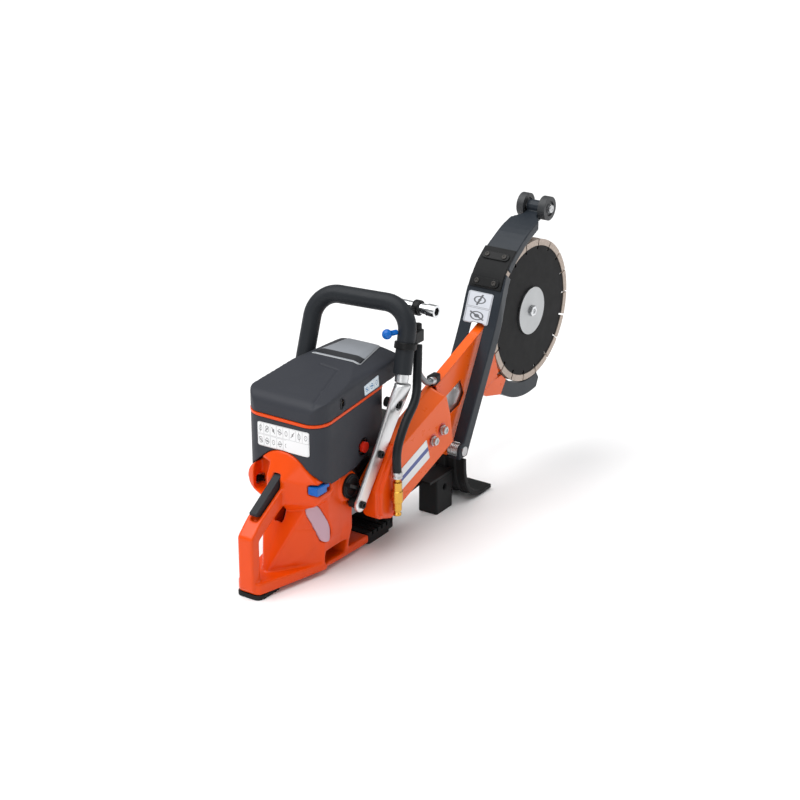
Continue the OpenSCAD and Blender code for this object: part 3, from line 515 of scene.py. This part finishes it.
def block(name, corners_low, corners_high, material, body, bevel=1.0, turn=None, pivot=None):
    """A box with rounded edges, turned about pivot."""
    build = bmesh.new()
    bmesh.ops.create_cube(build, size=1)
    low, high = Vector(corners_low), Vector(corners_high)
    for vertex in build.verts:
        spot = low + Vector([(high - low)[i] * (vertex.co[i] + 0.5) for i in range(3)])
        if turn:
            spot = Vector(pivot) + turn @ (spot - Vector(pivot))
        vertex.co = spot * MM
    piece = put(name, build, material)
    add_modifier(piece, "BEVEL", width=bevel * MM, segments=4)
    bake(piece)
    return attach(piece, body)


def socket_head(name, centre, axis, radius, height, material, body):
    """A domed screw head with a sunk round socket."""
    lathe(name, [(radius, 0), (radius, 0.7 * height), (0.85 * radius, height), (0.5 * radius, height),
                 (0.45 * radius, 0.4 * height)], centre, axis, material, body, steps=24)


def plate(name, centre, along, out, length, width, thick, rounding, material, body):
    """A flat plate with round corners: length runs along Y, width runs along, and its face looks out."""
    along, out = Vector(along).normalized(), Vector(out).normalized()
    build = bmesh.new()
    outline = []
    for side_a, side_b, start in ((1, 1, 0), (-1, 1, 90), (-1, -1, 180), (1, -1, 270)):
        for step in range(7):
            angle = math.radians(start + 15 * step)
            outline.append((side_a * (length / 2 - rounding) + rounding * math.cos(angle),
                            side_b * (width / 2 - rounding) + rounding * math.sin(angle)))
    rings = []
    for inset, height in ((0, 0), (0, thick - 0.5), (0.5, thick)):
        ring = []
        for a, b in outline:
            a *= 1 - 2 * inset / length
            b *= 1 - 2 * inset / width
            spot = Vector(centre) + a * Vector((0, 1, 0)) + b * along + height * out
            ring.append(build.verts.new(spot * MM))
        rings.append(ring)
    bridge(build, rings)
    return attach(put(name, build, material, smooth=False), body)


# ---------- Labels ----------


def icon_sheet(name, columns, rows, ink=rgb(52, 54, 58), paper=rgb(238, 239, 240), blank_row=None,
               strength=1.0):
    """A pale label with a grid of meaningless rings, bars and dots, a different one in each cell.

    blank_row is (height, start): below that height the label stays empty from start on.
    """
    p = Paint(name)
    p.set("Roughness", p.math("MULTIPLY_ADD", p.noise(90, 4), 0.15, 0.3))
    split = p.add("ShaderNodeSeparateXYZ", {0: p.add("ShaderNodeTexCoord").outputs["UV"]})
    u = p.math("MULTIPLY", split.outputs[0], columns)
    v = p.math("MULTIPLY", split.outputs[1], rows)
    cell = p.add("ShaderNodeCombineXYZ", {0: p.math("FLOOR", u), 1: p.math("FLOOR", v)}).outputs[0]
    pick = p.add("ShaderNodeTexWhiteNoise", {0: cell}).outputs["Value"]
    x = p.math("SUBTRACT", p.math("FRACT", u), 0.5)
    y = p.math("SUBTRACT", p.math("FRACT", v), 0.5)
    reach = p.math("SQRT", p.math("ADD", p.math("MULTIPLY", x, x), p.math("MULTIPLY", y, y)))
    square = p.math("MAXIMUM", p.math("ABSOLUTE", x), p.math("ABSOLUTE", y))
    ring = p.math("COMPARE", reach, p.math("MULTIPLY_ADD", pick, 0.14, 0.16), 0.03)
    slant = p.math("ADD", p.math("MULTIPLY", x, p.math("SINE", p.math("MULTIPLY", pick, 37.0))),
                   p.math("MULTIPLY", y, p.math("COSINE", p.math("MULTIPLY", pick, 37.0))))
    bar = p.math("MULTIPLY", p.math("COMPARE", slant, 0.0, 0.04), p.math("LESS_THAN", reach, 0.36))
    dot = p.math("LESS_THAN", reach, p.math("MULTIPLY", pick, 0.17))
    shape = p.math("MAXIMUM", p.math("MULTIPLY", ring, p.math("LESS_THAN", pick, 0.7)),
                   p.math("MAXIMUM", p.math("MULTIPLY", bar, p.math("GREATER_THAN", pick, 0.3)), dot))
    line = p.math("MULTIPLY", p.math("COMPARE", square, 0.46, 0.018), 0.55)
    mark = p.math("MAXIMUM", shape, line)
    if blank_row is not None:
        low, start = blank_row
        in_row = p.math("LESS_THAN", split.outputs[1], low)
        past = p.math("GREATER_THAN", split.outputs[0], start)
        mark = p.math("MULTIPLY", mark, p.math("SUBTRACT", 1.0, p.math("MULTIPLY", in_row, past)))
    ground = p.mix(p.noise(50, 4), shade(paper, 0.94), paper)
    p.set("Base Color", p.mix(p.math("MULTIPLY", mark, strength), ground, ink))
    return p.material


def plain_label(name, paper, band=None):
    """A plain label, with one darker band across it if band gives (low, high, colour)."""
    p = Paint(name)
    base = p.mix(p.noise(60, 5), shade(paper, 0.92), paper)
    if band:
        v = p.add("ShaderNodeSeparateXYZ", {0: p.add("ShaderNodeTexCoord").outputs["UV"]}).outputs[1]
        inside = p.math("MULTIPLY", p.math("GREATER_THAN", v, band[0]), p.math("LESS_THAN", v, band[1]))
        base = p.mix(inside, base, band[2])
    p.set("Base Color", base)
    p.set("Roughness", p.math("MULTIPLY_ADD", p.noise(120, 4), 0.2, 0.3))
    p.bump(p.noise(800, 3), 0.1, 0.03, 0)
    return p.material


# ---------- Tank and rear handle ----------


def smooth_step(value, low, high):
    """0 below low, 1 above high, and a smooth run between them."""
    t = max(0.0, min(1.0, (value - low) / (high - low)))
    return t * t * (3 - 2 * t)


def hill(value, rise_from, rise_to, fall_from, fall_to):
    """A smooth run up from 0 to 1 and down to 0 again."""
    return smooth_step(value, rise_from, rise_to) * (1 - smooth_step(value, fall_from, fall_to))


# The flanks draw in from FLANK_FROM out, and by FLANK_DRAW at FLANK_FULL
FLANK_FROM, FLANK_FULL, FLANK_DRAW = 14, 30, 4
SEAM_HEIGHT, SEAM_FALL, SEAM_WIDTH, SEAM_DEPTH = 82, 0.18, 2.2, 0.9
# The switch's pocket is made roomier by POCKET_DEPTH
SWITCH = middle("stop_switch")
POCKET_FLOOR = corner("stop_switch").y + 2
POCKET_DEPTH = 1.1


def tank_shape(p, normal):
    """Draws in the tank's flanks above the base flange, sinks a seam and gives the stop switch room."""
    x, y, z = p
    waist = math.sin(math.pi * smooth_step(z, 16, SEAM_HEIGHT)) * hill(x, 60, 84, 126, 150)
    if abs(y) > FLANK_FROM:
        y -= math.copysign(FLANK_DRAW * waist * smooth_step(abs(y), FLANK_FROM, FLANK_FULL), y)
    above_seam = z - SEAM_HEIGHT + SEAM_FALL * (x - 60)
    seam = math.exp(-(above_seam / SEAM_WIDTH) ** 2) * hill(x, 46, 56, 86, 98)
    pocket = 0.0
    if y > POCKET_FLOOR:
        pocket = 1 - smooth_step(math.hypot((x - SWITCH.x) / 13, (z - SWITCH.z) / 11), 0.75, 1.0)
    return Vector((x, y, z)) - Vector(normal) * (SEAM_DEPTH * seam + POCKET_DEPTH * pocket)


moulded("tank_shell", "fuel_tank", "machine", orange_plastic, voxel=1.7, soften=7, shape=tank_shape)


# ---------- Covers ----------

# The groove on the filter cover's top, in X and Y
GROOVE = [Vector((174, 13)), Vector((170, -20)), Vector((72, -46))]
GROOVE_DEPTH, GROOVE_WIDTH = 1.1, 1.6
COVER_TOP_FROM = 255
LATCH = Vector((119.5, -60, 259))
LATCH_WIDE, LATCH_TALL, LATCH_DEPTH = 5.2, 11, 2.2


def to_line(point, a, b):
    """A flat point's distance from the line from a to b."""
    t = max(0.0, min(1.0, (point - a).dot(b - a) / (b - a).length_squared))
    return (point - a - t * (b - a)).length


def cover_shape(p, normal):
    """Sinks a groove into the filter cover's top, and an oval latch pocket into its right shoulder."""
    if p.y < -35 and abs(p.x - LATCH.x) < 12:
        reach = math.hypot((p.x - LATCH.x) / LATCH_WIDE, (p.z - LATCH.z) / LATCH_TALL)
        return Vector(p) - Vector(normal) * LATCH_DEPTH * (1 - smooth_step(reach, 0.55, 1.05))
    if normal.z < 0.3 or p.z < COVER_TOP_FROM:
        return Vector(p)
    flat = Vector((p.x, p.y))
    reach = min(to_line(flat, a, b) for a, b in zip(GROOVE, GROOVE[1:]))
    return Vector(p) - Vector(normal) * GROOVE_DEPTH * math.exp(-(reach / GROOVE_WIDTH) ** 2)


filter_cover = moulded("filter_cover_shell", "air_filter_cover", "machine", charcoal_plastic,
                       voxel=1.25, soften=8, shape=cover_shape)
side_cover = moulded("cylinder_cover_shell", "cylinder_cover", "machine", charcoal_plastic,
                     voxel=1.4, soften=4)

rear = corner("cylinder_cover").x
icons = icon_sheet("icon_sheet", 8, 2, blank_row=(0.5, 0.56), strength=0.75)
panel("rear_label", [(rear, 43, 192), (rear, -46, 193), (rear, -46, 230), (rear, 43, 228)], icons, "machine",
      target=side_cover)
panel("side_label", [(178, -60, 250), (216, -60, 252), (214, -60, 270), (176, -60, 265)],
      icon_sheet("small_icons", 3, 1, ink=rgb(58, 120, 170), paper=rgb(226, 236, 242)), "machine",
      target=filter_cover, rounding=1.5)
panel("top_label_frame", [(194, 48, 294), (197, -41, 292), (272, -27, 297), (267, 30, 297)],
      plain_label("frame_silver", rgb(178, 181, 184)), "machine", target=filter_cover, rounding=6, lift=0.5,
      thick=0.6)
panel("top_label", [(195.5, 46.5, 294), (198.5, -39.5, 292), (270.5, -25.5, 297), (265.5, 28.5, 297)],
      plain_label("top_grey", rgb(142, 146, 152), band=(0.03, 0.26, rgb(34, 36, 40))), "machine",
      target=filter_cover, rounding=5, lift=0.95, thick=0.5)


# ---------- Fuel window and small parts at the rear ----------

moulded("fuel_window_lens", "fuel_window", "machine", window_white, voxel=0.9, soften=5)

CAP_FACE = middle("fuel_cap")
CAP_FACE.y = -65
lathe("cap_ring", [(13.4, 0), (14.6, 0), (14.8, 1.0), (13.2, 1.0)], CAP_FACE, RIGHT, grip_rubber, "cap",
      hollow=True)
lathe("cap_knurl", [(17.2, -3.8), (18.4, -3.4), (18.4, -0.6), (17.2, -0.1)], CAP_FACE, RIGHT, black_plastic,
      "cap", steps=20, smooth=False, hollow=True)


# ---------- Brackets, hoses and water kit ----------

moulded("handle_bracket_shell", "handle_brackets", "machine", bright_alloy, voxel=1.2, soften=5)
moulded("splash_guard_shell", "splash_guard", "guard", black_rubber, voxel=0.9, soften=3)

# The arm runs from the clutch drum's centre to the blades'
ARM_ROOT = Vector((206, 0, 100))
ARM_TURN = math.atan2(145, 424)


def arm_spot(p):
    """A point's distance along the arm and across it."""
    x, z = p.x - ARM_ROOT.x, p.z - ARM_ROOT.z
    return (x * math.cos(ARM_TURN) + z * math.sin(ARM_TURN), z * math.cos(ARM_TURN) - x * math.sin(ARM_TURN))


LEAN_FROM, LEAN_SLOPE = 46, 0.75
BELT_GUARD_INNER = -66


def belt_shape(p, normal):
    """Leans the belt guard's upper edge in towards the arm, no further than its inner edge."""
    lean = max(0.0, arm_spot(p)[1] - LEAN_FROM) * LEAN_SLOPE
    return Vector((p.x, min(p.y + lean, max(p.y, BELT_GUARD_INNER)), p.z))


belt_guard = moulded("belt_guard_shell", "belt_guard", "machine", orange_paint, voxel=1.25, soften=6,
                     shape=belt_shape)
moulded("clutch_cover_shell", "clutch_cover", "machine", orange_plastic, voxel=1.3, soften=6)
moulded("feet_shell", "rubber_feet", "machine", black_rubber, voxel=1.2, soften=5)
moulded("water_valve_shell", "water_valve", "machine", black_plastic, voxel=0.9, soften=4)
panel("belt_label", [(234, -86, 89), (308, -86, 113), (299, -86, 145), (230, -86, 122)],
      plain_label("belt_white", rgb(236, 238, 240), band=(0.4, 0.62, rgb(70, 86, 150))), "machine",
      target=belt_guard, rounding=1.5)
HUB_NUT_SUNK = 2.3
for side in (-1, 1):
    end = corner("hub_shaft", side < 0).y - side * HUB_NUT_SUNK
    lathe(f"hub_nut_{side + 1}", [(9.2, 0), (9.2, 2.2), (8.2, 3.0), (4.6, 3.0), (4.4, 1.0)],
          (BLADE.x, end, BLADE.z), side * LEFT, chrome_plate, "blades", steps=6, smooth=False)
for k, along in enumerate((116, 143)):
    nut = ARM_ROOT + along * Vector((math.cos(ARM_TURN), 0, math.sin(ARM_TURN)))
    lathe(f"bar_nut_{k}", [(6.6, 0), (6.6, 4.2), (5.9, 5), (3.6, 5), (3.4, 4)], (nut.x, -89.5, nut.z), RIGHT,
          bright_steel, "machine", steps=6, smooth=False)
    # A thin red ring round each nut is painted shadow: it stands for the reddish shade round the nut.
    lathe(f"nut_painted_shadow_{k}", [(8.2, -0.2), (10.4, -0.2), (10.4, 0.3), (8.2, 0.3)], (nut.x, -86.2, nut.z), RIGHT,
          red_plastic, "machine", hollow=True)
BARE_ALLOY_TO, BARE_ALLOY_Y = 246, -65.3
HOOK_PAINT_TO = 233.65
second_finish("arm_cover", bright_alloy, lambda p: arm_spot(p)[0] < BARE_ALLOY_TO and p.y > BARE_ALLOY_Y)
second_finish("hook_guard", orange_paint,
              lambda p: math.degrees(math.atan2(p.z - BLADE.z, p.x - BLADE.x)) % 360 < HOOK_PAINT_TO)
moulded("valve_lever_shell", "valve_lever", "valve", blue_plastic, voxel=0.7, soften=4)

connector = middle("quick_connector")
connector.z = corner("quick_connector", False).z
black_hose = tube("black_hose", [(283, -81, 299), (274, -86, 258), (254, -96, 228), (222, -99, 200),
                                 (connector.x, connector.y, 168), connector + 2 * UP],
                  6.5, hose_rubber, "machine", rib=0.12)
tube("arm_hose", [(291, -70, 300), (294, -68, 280), (304, -68, 248), (326, -68, 223), (350, -66, 218.5)],
     4.5, grey_hose, "machine")
block("arm_inlet", (346, -67, 208), (368, -54, 224), black_plastic, "machine", bevel=3)
lathe("arm_bolt", [(5.5, 0), (5.5, 3.6), (4.6, 4.5), (2.6, 4.5), (2.4, 2)], (328, -59, 200.5),
      (-0.33, 0, 0.94), black_plastic, "machine", steps=24)
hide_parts("water_hoses")
lathe("hose_collar", [(6.7, 0), (7.6, 0.6), (7.6, 3), (7.0, 4), (7.6, 5), (7.6, 9), (6.8, 10)],
      connector, UP, bright_steel, "machine")
lathe("arm_hose_fitting", [(4.8, 0), (5.6, 0.6), (5.6, 9), (5.0, 10)], (338, -67.5, 221), (1, 0, -0.25),
      bright_steel, "machine")


# ---------- Roller guard ----------

guard = moulded("guard_lower_shell", "guard_lower", "guard", charcoal_paint, voxel=1.1, soften=5)
# The guard's own solid is the only long one in its node
moulded("guard_upper_shell", "guard_upper", "guard_tip", charcoal_paint, voxel=1.1, soften=5,
        keep=lambda low, high: high.x - low.x > 100)
# The middle of the cut, halfway between the blades
CUT_Y = BLADE.y + (corner("left_blade").y - corner("right_blade").y) / 2
# The guard's outer face along the hinge, in X and Z
HINGE_RUN = [(481, 264), (499, 308), (517, 340), (549, 367), (592, 390), (633, 402)]
hinge_path = spline([(x, CUT_Y, z) for x, z in HINGE_RUN], steps=8)
# Points of the hinge path where the strip starts and ends, and where its clamps sit
STRIP_FROM, STRIP_TO = 10, 24
LOWER_CLAMP, UPPER_CLAMP = 12, 21
STRIP_HALF = 28
STRIP_FACE = 2.7


def outward(i):
    """The way out of the guard at point i of the hinge path, and the way along it."""
    along = (hinge_path[min(i + 1, len(hinge_path) - 1)] - hinge_path[max(i - 1, 0)]).normalized()
    return Vector((-along.z, 0, along.x)), along


def hinge_strip():
    """The rubber strip where the two halves of the guard meet, made as one fixed piece."""
    build = bmesh.new()
    half_section = [(STRIP_HALF, 0.2), (STRIP_HALF, 2.0), (STRIP_HALF - 1, STRIP_FACE), (8, STRIP_FACE + 0.1)]
    section = [(-y, lift) for y, lift in half_section] + half_section[::-1]
    rings = []
    for i in range(STRIP_FROM, STRIP_TO + 1):
        out, along = outward(i)
        rings.append([build.verts.new((hinge_path[i] + y * LEFT + out * lift) * MM) for y, lift in section])
    bridge(build, rings)
    piece = put("hinge_strip", build, black_rubber, smooth=False)
    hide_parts("guard_hinge")
    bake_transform(piece)


hinge_strip()
for clamp, body, i in (("lower_clamp", "guard", LOWER_CLAMP), ("upper_clamp", "guard_tip", UPPER_CLAMP)):
    out, along = outward(i)
    centre = hinge_path[i] + out * STRIP_FACE
    plate(clamp, centre, along, out, 47, 13.5, 2.1, 6, black_plastic, body)
    for side in (-1, 1):
        socket_head(f"{clamp}_screw_{side + 1}", centre + 15 * side * LEFT + out * 1.8, out, 4, 2, dark_steel,
                    body)
panel("guard_label", [(475, CUT_Y + 26, 268), (475, CUT_Y - 18, 268), (494.5, CUT_Y - 18, 313),
                      (494.5, CUT_Y + 26, 313)],
      icon_sheet("guard_icons", 1, 2, paper=rgb(214, 218, 226), strength=0.85), "guard", target=guard,
      rounding=3)
AXLE = middle("right_roller")
AXLE.y = CUT_Y
AXLE_HALF = 27
lathe("roller_axle", [(4, 0), (4, 2 * AXLE_HALF)], AXLE + AXLE_HALF * RIGHT, LEFT, bright_steel, "guard_tip")
for side in (-1, 1):
    lathe(f"axle_head_{side + 1}", [(6.5, 0), (6.5, 1.4), (5.4, 2.3), (3, 2.3), (2.4, 1.6)],
          AXLE + (AXLE_HALF - 0.4) * side * LEFT, side * LEFT, bright_steel, "guard_tip", steps=32)


# ---------- Starter rope ----------

GRIP_Y = middle("starter_handle").y
PULLEY_REACH = 26
PULL = Vector((1, 0, 1)).normalized()
ROPE_RISE = Vector((-1, 0, 1)).normalized()


def rope_spot(along):
    """A point on the rope at rest, so far along the pull from where it leaves the pulley."""
    spot = ARM_ROOT + along * PULL + PULLEY_REACH * ROPE_RISE
    spot.y = GRIP_Y
    return spot


rope = tube("starter_rope", [rope_spot(along) for along in range(10, 43, 4)], 1.6, hose_rubber, None,
            sides=12, rib=0.15)
rope_spot(12) * MM
rope_spot(36) * MM
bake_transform(rope)


# ---------- Front handle and spanner ----------

GRIP_FOOT = 255
second_solids("front_handle", bright_alloy, lambda low, high: low.z < GRIP_FOOT)
SPANNER = middle("spanner")
for k, y in enumerate((-78, -30)):
    lathe(f"spanner_clip_{k}", [(8.3, 0), (11, 0), (11.4, 1), (11.4, 9), (11, 10), (8.3, 10)],
          (SPANNER.x, y, SPANNER.z), LEFT, black_plastic, "machine", hollow=True)
block("spanner_bridge", (268, -76, SPANNER.z - 5), (SPANNER.x - 9.5, -68, SPANNER.z + 5), black_plastic,
      "machine")
block("latch_tongue", (LATCH.x - 3.4, -61.5, LATCH.z - 8), (LATCH.x + 3.4, -57, LATCH.z + 3), black_plastic,
      "machine", bevel=1.2)


# ---------- Stage, light and camera ----------


def floor():
    """A plain pale floor that runs past the camera's view."""
    build = bmesh.new()
    bmesh.ops.create_grid(build, x_segments=8, y_segments=8, size=60)
    p = Paint("floor_finish")
    p.set("Base Color", p.mix(p.noise(3, 2), rgb(246, 246, 247), rgb(250, 250, 250)))
    p.set("Roughness", 0.55)
    p.set("Specular IOR Level", 0.15)
    put("floor", build, p.material)


def area_light(name, place, target, size, watts):
    data = bpy.data.lights.new(name, "AREA")
    data.shape = "DISK"
    data.size = size
    data.energy = watts
    light = bpy.data.objects.new(name, data)
    light.location = place
    light.rotation_euler = (Vector(target) - Vector(place)).to_track_quat("-Z", "Y").to_euler()
    SCENE.collection.objects.link(light)


def studio():
    """White for the camera, a dimmer white for the saw, a wide soft sun overhead and three soft lamps."""
    world = bpy.data.worlds.new("studio")
    world.use_nodes = True
    background = world.node_tree.nodes["Background"]
    seen = world.node_tree.nodes.new("ShaderNodeLightPath")
    strength = world.node_tree.nodes.new("ShaderNodeMapRange")
    strength.inputs["To Min"].default_value = 0.36
    strength.inputs["To Max"].default_value = 1.0
    world.node_tree.links.new(seen.outputs["Is Camera Ray"], strength.inputs["Value"])
    world.node_tree.links.new(strength.outputs[0], background.inputs["Strength"])
    background.inputs["Color"].default_value = (1, 1, 1, 1)
    SCENE.world = world
    centre = (0.3, -0.03, 0.15)
    sun = bpy.data.lights.new("sky", "SUN")
    sun.energy = 2.8
    sun.angle = math.radians(70)
    sky = bpy.data.objects.new("sky", sun)
    sky.rotation_euler = (math.radians(-11), math.radians(-14), 0)
    SCENE.collection.objects.link(sky)
    area_light("key", (-1.2, 1.2, 2.2), centre, 0.9, 8)
    area_light("front", (-2.6, -1.0, 1.0), centre, 1.0, 8)
    area_light("rim", (1.9, -1.4, 1.6), centre, 0.8, 7)


EYE = Vector((-1878.12, -1499.53, 1278.42))
GAZE = Vector((0.7678, 0.5150, -0.3812))
LENS = 86.48


def camera():
    """Looks at the saw from behind and to its right, from above, as the photograph does."""
    data = bpy.data.cameras.new("camera")
    data.sensor_width = 36
    data.lens = LENS
    data.clip_end = 50
    eye = bpy.data.objects.new("camera", data)
    eye.location = EYE * MM
    eye.rotation_euler = GAZE.to_track_quat("-Z", "Y").to_euler()
    SCENE.collection.objects.link(eye)
    SCENE.camera = eye


floor()
studio()
camera()
SCENE.view_settings.view_transform = "Standard"
